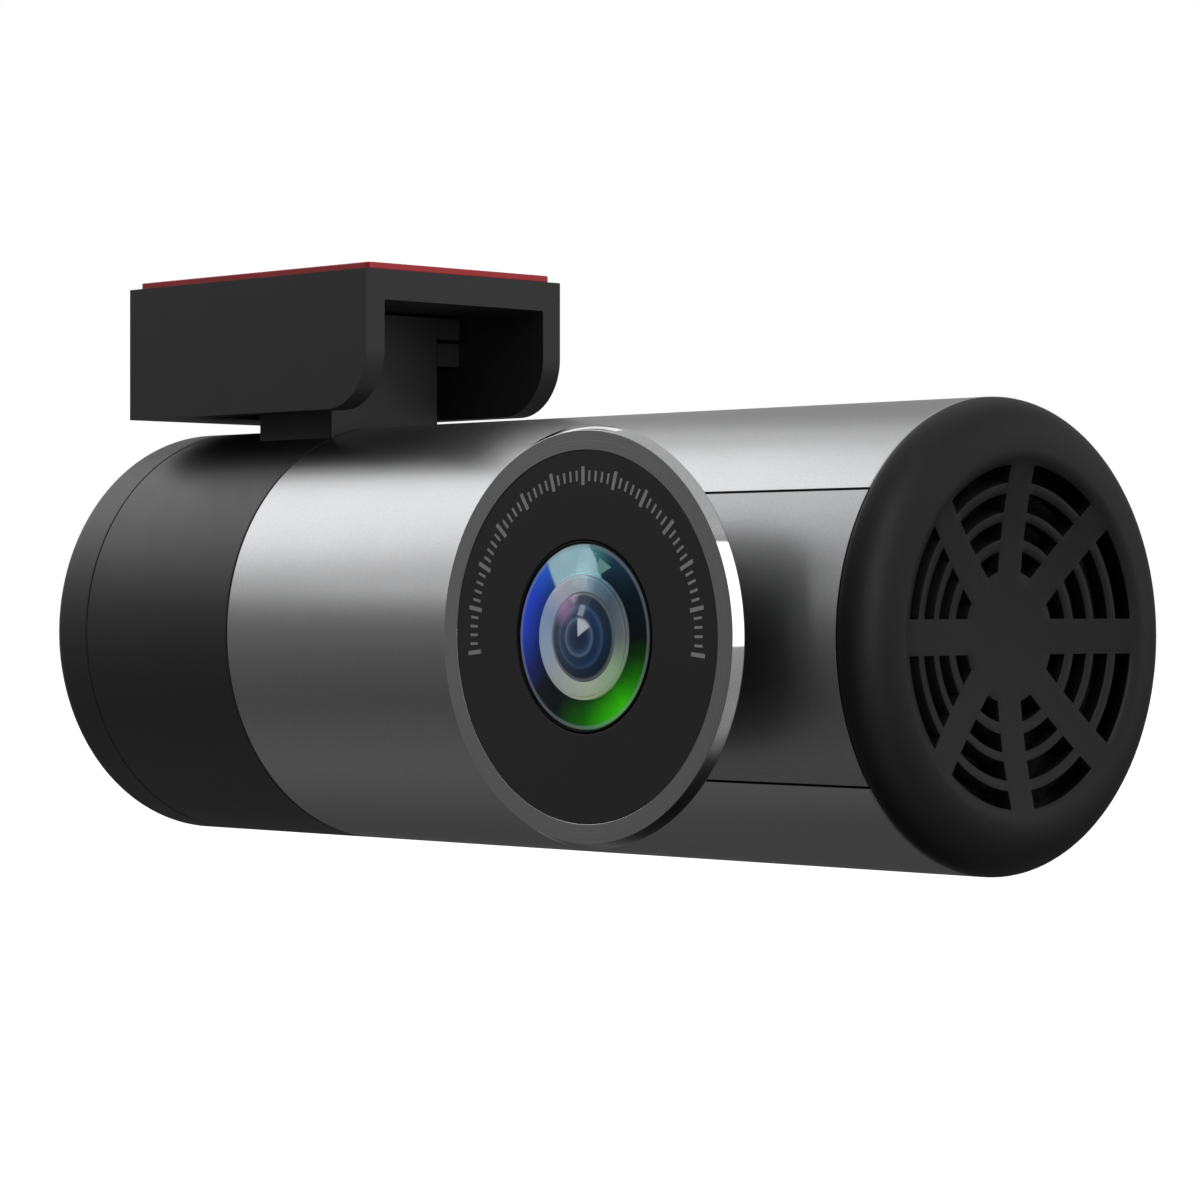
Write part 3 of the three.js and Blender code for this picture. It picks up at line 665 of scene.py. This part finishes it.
side = rounded([
    (BRACKET_X[0], BRACKET_Z[0]), (BRACKET_X[1], BRACKET_Z[0], 5.0),
    (BRACKET_X[1], BRACKET_Z[1]), (BRACKET_X[0], BRACKET_Z[1]),
], steps=24)
channel = prism(
    box_outline(-CHANNEL_Y, CHANNEL_Y, BRACKET_Z[0] - 4, CHANNEL_TOP, 0.15), "x",
    -60.8, BRACKET_X[1] + 3,
)
foam_low, foam_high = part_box("adhesive_foam")
pocket = prism(
    box_outline(
        (foam_low[0] - LENS_X) / MM - 0.4, (foam_high[0] - LENS_X) / MM + 0.4,
        foam_low[1] / MM - 0.4, foam_high[1] / MM + 0.4, 0.6,
    ), "z", BRACKET_Z[1] - 0.9, BRACKET_Z[1] + 3,
)
bracket_parts = [("cut", channel), ("cut", pocket)]
for sign in (-1, 1):
    inner, outer = sorted((sign * 6.55, sign * (CHANNEL_Y + 0.6)))
    lip = prism(box_outline(inner, outer, 23.7, 25.75, 0.15), "x", -61.3, -48.2)
    stop = prism(box_outline(inner, outer, 24.2, CHANNEL_TOP + 0.3), "x", -61.3, -57.8)
    bracket_parts += [("add", lip), ("add", stop)]
finished(
    "bracket_moulding",
    combine(prism(side, "y", -BRACKET_Y, BRACKET_Y), *bracket_parts),
    "bracket_body", BLACK, ["bracket"], bevel=0.22,
)
pad_low, pad_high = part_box("release_liner")
pad_x = [(at - LENS_X) / MM for at in (pad_low[0], pad_high[0])]
pad_y = pad_high[1] / MM
liner_z = [(at - AXIS_Z) / MM for at in (pad_low[2], pad_high[2])]
finished(
    "red_liner", prism(box_outline(*pad_x, -pad_y, pad_y, 0.5), "z", *liner_z),
    "bracket_body", RED_FILM, ["release_liner"], bevel=0.06,
)

# ---------------------------------------------------------------- arm

sleeve_right = PIVOT_SEAM - 0.06
sleeve = revolve(rounded([
    (CAP_SEAM + 0.035, 16.0), (CAP_SEAM + 0.035, BODY, 0.12), (sleeve_right, BODY, 0.12),
    (sleeve_right, 16.0), (WEB[1], 16.0), (WEB[1], 5.1), (WEB[0], 5.1), (WEB[0], 16.0),
]), segments=192)
stop_slot = wedge(WEB[0] - 1, WEB[1] + 0.3, *STOP_RADII, STOP_HALF)
stem = prism(box_outline(*NECK_X, -NECK_HALF, NECK_HALF, 0.25), "z", 16.4, NECK_TOP)
tee = prism(box_outline(*NECK_X, -TEE_HALF, TEE_HALF, 0.25), "z", *TEE_Z)
finished(
    "arm_sleeve", combine(sleeve, ("add", stem), ("add", tee), ("cut", stop_slot)),
    "arm", BLACK, ["arm_housing"], bevel=0.15,
)
end_round = ellipse((END_FACE + 1.4, BODY - 1.4), (1.4, 1.4), 180, 90, 10)
finished("left_end", revolve(
    [(END_FACE, 0.0), (END_FACE, 8.0), (END_FACE, 14.0)] + end_round
    + rounded([
        (-69.0, BODY), (CAP_SEAM - 0.035, BODY, 0.1), (CAP_SEAM - 0.035, 15.8), (-63.3, 15.8),
        (-63.3, 14.3), (-70.2, 14.3), (-70.2, 0.0),
    ], closed=False), segments=192, closed=False,
), "arm", BLACK, ["end_cap"])

# ---------------------------------------------------------------- silver head

head_left = PIVOT_SEAM + 0.06
head_right = GRILLE_SEAM - 0.06
ports = [
    ("cut", wedge(PANEL_LEFT - 0.12, head_right + 5, BORE - 3, BODY + 3, PANEL_HALF)),
    ("cut", prism(box_outline(USB_X - 4.5, USB_X + 4.5, 0.35, 4.05, 1.1), "y", 12, 22)),
    ("cut", prism(box_outline(CARD_X - 6.2, CARD_X + 6.2, 0.75, 2.35, 0.75), "y", 12, 22)),
    ("cut", rod("y", 12, 22, 2.85, (BUTTON_X, CONTROLS_Z))),
    ("cut", rod("y", 12, 22, 1.15, (LIGHT_X, CONTROLS_Z), 32)),
    ("cut", rod("y", 12, 22, 0.6, (HOLE_X, CONTROLS_Z), 24)),
]
tube = revolve(rounded([
    (head_left, BORE), (head_left, BODY, 0.1), (head_right, BODY, 0.1), (head_right, BORE),
]), segments=192)
finished(
    "silver_tube", combine(tube, *ports), "head", SILVER, ["main_shell"],
    bevel=0.1,
)
# the front strip wears the darker satin metal, painted shade
strip = wedge(PANEL_LEFT + 0.12, head_right, BORE, BODY, PANEL_HALF - 0.75)
finished(
    "silver_strip", combine(strip, ("cut", rod("y", -24, -8, 9.8, (0, 0), 96))),
    "head", STRIP_SILVER_PAINTED_SHADE, ["front_panel"], bevel=0.12,
)


# ---------------------------------------------------------------- speaker grille

def grille():
    """Rounded end with a dished face, cut by arc slots between parallel-sided spokes."""
    hub_x = VENT_X - DISH
    radii = [1.3, 2.6, 3.9]
    open_rows = []
    for inner, outer in VENT_ROWS:
        radii.append(inner)
        open_rows.append(len(radii))
        radii.append(outer)
    profile = [(hub_x, 0.0)] + [(hub_x + DISH * (r / VENT) ** 2, r) for r in radii]
    rim = ellipse(
        (GRILLE_SEAM + 0.06, BODY - GRILLE_ROUND), (GRILLE_CREST - GRILLE_SEAM - 0.06, GRILLE_ROUND),
        0, 90, 18,
    )
    profile += [(24.58, 13.25)] + rim
    arms, gap, across = 8, 14, 4
    bm = bmesh.new()
    rings = []
    for x, r in profile:
        if r == 0.0:
            rings.append([bm.verts.new((x, 0.0, 0.0))])
            continue
        half = math.asin(min(SPOKE / 2 / max(r, 5.0), 1.0))
        ring = []
        for arm in range(arms):
            start = arm * math.pi / 4
            for k in range(across):
                ring.append(start - half + 2 * half * k / across)
            for k in range(gap):
                ring.append(start + half + (math.pi / 4 - 2 * half) * k / gap)
        rings.append([bm.verts.new((x, -r * math.cos(t), r * math.sin(t))) for t in ring])
    count = arms * (gap + across)
    for row, (a, b) in enumerate(zip(rings, rings[1:])):
        for k in range(count):
            if row in open_rows and k % (gap + across) >= across:
                continue
            n = (k + 1) % count
            if len(a) == 1:
                bm.faces.new((a[0], b[k], b[n]))
            else:
                bm.faces.new((a[k], b[k], b[n], a[n]))
    bmesh.ops.recalc_face_normals(bm, faces=bm.faces)
    if sum(f.normal.x for f in bm.faces) < 0:
        bmesh.ops.reverse_faces(bm, faces=bm.faces)
    return bm


end = finished("grille_end", grille(), "head", GRILLE_BLACK, ["grille_cap"], sharp=50)
wall = end.modifiers.new("wall", "SOLIDIFY")
wall.thickness = 1.5 * MM
wall.offset = -1.0
wall.use_even_offset = False
add_bevel(end, 0.09)

# ---------------------------------------------------------------- bezel and face

finished("turret_barrel", revolve(rounded([
    (BEZEL_BACK - 0.2, 7.7), (BEZEL_BACK - 0.2, 9.6, 0.2), (11.8, 9.6), (11.8, 10.7, 0.2),
    (10.6, 10.7, 0.2), (10.6, 7.7),
]), "y"), "head", BLACK, ["turret"])
bezel = finished("bezel", revolve(rounded([
    (FRONT, PLATE + 0.03, 0.03), (FRONT, BEZEL_FACE, 0.05), (BEZEL_EDGE, BEZEL, 0.04),
    (BEZEL_EDGE - 0.18, BEZEL - 0.1), (BEZEL_EDGE - 0.18, BEZEL_STEP),
    (BEZEL_BACK, BEZEL_STEP, 0.12), (BEZEL_BACK, 7.7), (FRONT - 0.9, 7.7),
    (FRONT - 0.9, PLATE + 0.03),
]), "y", segments=256), "head", BEZEL_METAL, ["bezel_ring"])
bezel.data.materials.append(BEZEL_BEHIND)
bezel.data.materials.append(BEZEL_CUT)
for face in bezel.data.polygons:
    if face.normal.y > 0.3:
        face.material_index = 1
    elif face.normal.y > -0.9:
        face.material_index = 2
finished("face_disc", revolve(rounded([
    (FRONT - 0.75, 7.3), (FRONT - 0.04, 7.3, 0.08), (FRONT - 0.04, PLATE, 0.02),
    (FRONT - 0.75, PLATE),
]), "y", segments=256), "head", COVER_BLACK, ["cover_plate"])


def scale_marks():
    """A ring of generic graduations printed over the top of the face, every fifth one long."""
    bm = bmesh.new()
    count = 61
    for k in range(count):
        long = k % 5 == 0
        r0, r1, half = (11.4, 12.8, 0.16) if long else (11.7, 12.5, 0.10)
        t = math.radians(186 - 192 * k / (count - 1))
        out = Vector((math.cos(t), 0, math.sin(t)))
        side_way = Vector((-math.sin(t), 0, math.cos(t)))
        corners = []
        for front in (FRONT - 0.06, FRONT - 0.02):
            for r, s in ((r0, -half), (r1, -half), (r1, half), (r0, half)):
                corners.append(bm.verts.new(out * r + side_way * s + Vector((0, -front, 0))))
        for quad in ((0, 1, 2, 3), (4, 5, 6, 7), (0, 1, 5, 4), (1, 2, 6, 5), (2, 3, 7, 6), (3, 0, 4, 7)):
            bm.faces.new([corners[i] for i in quad])
    bmesh.ops.recalc_face_normals(bm, faces=bm.faces)
    return bm


finished("scale_marks", scale_marks(), "head", PRINT_GREY)

# ---------------------------------------------------------------- lens


def dome(apex, sag, radius, steps=24):
    """Part of a sphere from the axis out to a rim, as (ahead, radius) pairs."""
    ball = (radius * radius + sag * sag) / (2 * sag)
    out = []
    for k in range(steps + 1):
        r = radius * k / steps
        out.append((apex - ball + math.sqrt(ball * ball - r * r), r))
    return out


finished("lens_rim", revolve(rounded([
    (LENS_FRONT, GLASS + 0.05, 0.04), (LENS_FRONT, LENS_RIM, 0.06), (18.2, 7.2), (18.2, 6.0), (6.0, 6.0),
    (6.0, 3.4), (16.6, 3.4), (16.6, 5.0), (19.9, 5.0), (20.6, GLASS + 0.05),
]), "y"), "head", LENS_BLACK, ["lens_barrel"])
finished(
    "front_dome",
    revolve(dome(22.95, 1.05, GLASS) + dome(22.62, 0.70, 6.6)[::-1], "y", closed=False),
    "head", DOME_GLASS, ["lens_front_glass"],
)
# the cone wears the painted coating reflections, shade and glow
finished("coated_cone", revolve(rounded([
    (21.88, GLASS - 0.01, 0.04), (21.88, GLASS - 0.2, 0.05), (21.84, CONE_INNER, 0.1), (21.3, CONE_INNER),
    (21.3, GLASS - 0.01),
]), "y"), "head", COATING_REFLECTION_PAINT)
# the pale ring wears painted reflections and glow
finished("pale_ring", revolve(rounded([
    (22.02, RING_OUTER, 0.04), (22.02, 4.62, 0.04), (21.92, 4.60), (21.92, 4.53),
    (22.10, 4.49, 0.04), (22.0, RING_INNER, 0.04), (17.4, RING_INNER), (17.4, RING_OUTER),
]), "y"), "head", PALE_RING_PAINTED_LIGHT, ["lens_spacer"])
# the second dome wears painted rings, flare, glint and glow
finished(
    "second_dome",
    revolve(dome(22.52, 0.6, SECOND) + [(18.4, SECOND), (18.4, 0.0)], "y", closed=False),
    "head", INNER_GLASS, ["lens_second_glass"],
)

# ---------------------------------------------------------------- controls on the back

finished("button_cap", revolve(rounded([
    (-14.45, 0.0), (-14.45, 1.5, 0.1), (-14.75, 1.5), (-14.75, 3.3, 0.1), (-15.35, 3.3, 0.1),
    (-15.35, 2.6), (-18.3, 2.6, 0.3), (-18.35, 1.6), (-18.25, 0.0),
], closed=False), "y", (BUTTON_X, CONTROLS_Z), 64, closed=False),
    "power_button", BLACK, ["power_button"])

# ---------------------------------------------------------------- CAD pieces kept as they are

KEPT = {
    "adhesive_foam": FOAM, "friction_ring": NYLON, "wave_washer": SPRING,
    "retainer_washer": SPRING, "pivot_hub": BLACK, "pivot_screw": SCREW, "lens_rear_glass": FILTER,
    "lens_holder": CHIP, "ir_filter": FILTER, "image_sensor": CHIP, "sensor_board": BOARD,
    "holder_screw_1": SCREW, "holder_screw_2": SCREW, "main_board": BOARD,
    "board_screw_1": SCREW, "board_screw_2": SCREW, "usb_socket": TINNED,
    "card_socket": TINNED, "tactile_switch": CHIP, "status_led": CLEAR, "light_pipe": CLEAR,
    "shield_can": TINNED, "processor": CHIP, "board_link": CHIP, "microphone": TINNED,
    "battery_cell": FOIL, "speaker_basket": TINNED, "speaker_cone": PAPER,
    "speaker_magnet": MAGNET, "grille_cloth": CLOTH,
}
for name, material in KEPT.items():
    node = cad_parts[name]
    if not node.material_slots:
        node.data.materials.append(material)
    for slot in node.material_slots:
        slot.material = material

# ---------------------------------------------------------------- room, light, camera

floor_mesh = bpy.data.meshes.new("floor")
floor_size = 6.0
floor_z = AXIS_Z - FLOOR_BELOW * MM
floor_mesh.from_pydata(
    [(x * floor_size, y * floor_size, floor_z) for x, y in ((-1, -1), (1, -1), (1, 1), (-1, 1))],
    [], [(0, 1, 2, 3)],
)
floor = bpy.data.objects.new("floor", floor_mesh)
bpy.context.scene.collection.objects.link(floor)
pale = Surface("pale_floor", (0.86, 0.86, 0.86), 0.9)
pale.tint(pale.noise(3.0), (0.86, 0.86, 0.86), 0.01)
pale.shader.inputs["Emission Color"].default_value = (1.0, 1.0, 1.0, 1.0)
pale.shader.inputs["Emission Strength"].default_value = 0.72
floor_mesh.materials.append(pale.material)
floor.visible_glossy = False
floor.visible_diffuse = False
floor.visible_shadow = False
floor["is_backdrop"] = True


LIGHT_DISTANCE = 0.9  # metres


def panel_light(name, direction, size, power):
    """Soft rectangular light that faces the middle of the cylinder."""
    light = bpy.data.lights.new(name, "AREA")
    light.shape = "RECTANGLE"
    light.size, light.size_y = size
    light.energy = power
    obj = bpy.data.objects.new(name, light)
    target = Vector((LENS_X - 0.02, 0, AXIS_Z))
    obj.location = target + Vector(direction).normalized() * LIGHT_DISTANCE
    obj.rotation_euler = (obj.location - target).to_track_quat("Z", "Y").to_euler()
    obj.visible_camera = False
    bpy.context.scene.collection.objects.link(obj)


panel_light("key", (-0.79, -0.15, 0.595), (0.72, 0.54), 2.05)
panel_light("window", (-0.72, -0.60, 0.42), (0.40, 0.36), 0.14)
panel_light("far_side", (0.72, 0.69, 0.16), (0.9, 0.8), 1.05)
panel_light("right", (0.925, -0.17, 0.34), (0.36, 0.80), 2.15)
panel_light("high_left", (-0.67, 0.37, 0.64), (0.05, 0.42), 0.08)
panel_light("catchlight", (-0.66, -0.68, 0.28), (0.11, 0.11), 0.12)


def studio_world():
    """Grey surroundings graded by height, dark in front and low behind, with a soft card low on
    the right. The camera sees white.
    """
    world = bpy.data.worlds.new("studio")
    bpy.context.scene.world = world
    world.use_nodes = True
    tree = world.node_tree

    def link(a, b):
        tree.links.new(a, b)

    def graded(source, first, last, low, high):
        made = tree.nodes.new("ShaderNodeMapRange")
        for key, value in (("From Min", first), ("From Max", last), ("To Min", low), ("To Max", high)):
            made.inputs[key].default_value = value
        link(source, made.inputs["Value"])
        return made.outputs["Result"]

    def maths(operation, a, b):
        made = tree.nodes.new("ShaderNodeMath")
        made.operation = operation
        link(a, made.inputs[0])
        link(b, made.inputs[1])
        return made.outputs["Value"]

    split = tree.nodes.new("ShaderNodeSeparateXYZ")
    link(tree.nodes.new("ShaderNodeTexCoord").outputs["Generated"], split.inputs["Vector"])
    gradient = tree.nodes.new("ShaderNodeValToRGB")
    stops = [
        (0.0, 0.02), (0.05, 0.05), (0.15, 0.23), (0.30, 0.115), (0.50, 0.28), (0.70, 0.40),
        (0.84, 0.40), (0.88, 0.84), (1.0, 0.84),
    ]
    for k, (at, grey) in enumerate(stops):
        stop = gradient.color_ramp.elements[k] if k < 2 else gradient.color_ramp.elements.new(at)
        stop.position = at
        stop.color = (grey, grey, grey, 1.0)
    link(graded(split.outputs["Z"], -1.0, 1.0, 0.0, 1.0), gradient.inputs["Fac"])
    in_front = graded(split.outputs["Y"], -0.85, -0.55, 0.4, 1.0)
    behind_below = maths("SUBTRACT", split.outputs["Y"], split.outputs["Z"])
    low_behind = graded(behind_below, 0.56, 0.93, 1.0, 0.6)
    surroundings = tree.nodes["Background"]
    link(gradient.outputs["Color"], surroundings.inputs["Color"])
    link(maths("MULTIPLY", in_front, low_behind), surroundings.inputs["Strength"])
    card = tree.nodes.new("ShaderNodeBackground")
    card.inputs["Color"].default_value = (1, 1, 1, 1)
    right = graded(split.outputs["X"], 0.50, 0.86, 0.0, 0.36)
    below = maths("MULTIPLY", right, graded(split.outputs["Z"], -0.02, 0.0, 1.0, 0.0))
    ahead = graded(split.outputs["Y"], -0.05, 0.2, 1.0, 0.0)
    link(maths("MULTIPLY", below, ahead), card.inputs["Strength"])
    both = tree.nodes.new("ShaderNodeAddShader")
    link(surroundings.outputs["Background"], both.inputs[0])
    link(card.outputs["Background"], both.inputs[1])
    seen = tree.nodes.new("ShaderNodeBackground")
    seen.inputs["Color"].default_value = (1, 1, 1, 1)
    choose = tree.nodes.new("ShaderNodeMixShader")
    link(tree.nodes.new("ShaderNodeLightPath").outputs["Is Camera Ray"], choose.inputs["Fac"])
    link(both.outputs["Shader"], choose.inputs[1])
    link(seen.outputs["Background"], choose.inputs[2])
    link(choose.outputs["Shader"], tree.nodes["World Output"].inputs["Surface"])


studio_world()
bpy.context.scene.view_settings.view_transform = "Standard"

AZIMUTH = 45.666  # degrees to the right of the lens axis
TILT = 0.08  # degrees above level
AIM = (-20.66, 0.0, 2.81)  # millimetres, as the pieces are drawn
DISTANCE = 319.23  # millimetres from the aim point
eye = bpy.data.cameras.new("camera")
eye.sensor_width = 36.0
eye.lens = 115.62
eye.clip_start = 0.01
camera = bpy.data.objects.new("camera", eye)
camera.rotation_euler = (math.radians(90 + TILT), 0, math.radians(AZIMUTH))
aim = Vector((AIM[0] * MM + LENS_X, AIM[1] * MM, AIM[2] * MM + AXIS_Z))
back = Vector((0, 0, DISTANCE * MM))
back.rotate(camera.rotation_euler)
camera.location = aim + back
bpy.context.scene.collection.objects.link(camera)
bpy.context.scene.camera = camera

sizes = {"cad": cad_bounds, "visual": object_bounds()}
{key: [[float(c) for c in corner] for corner in pair] for key, pair in sizes.items()}
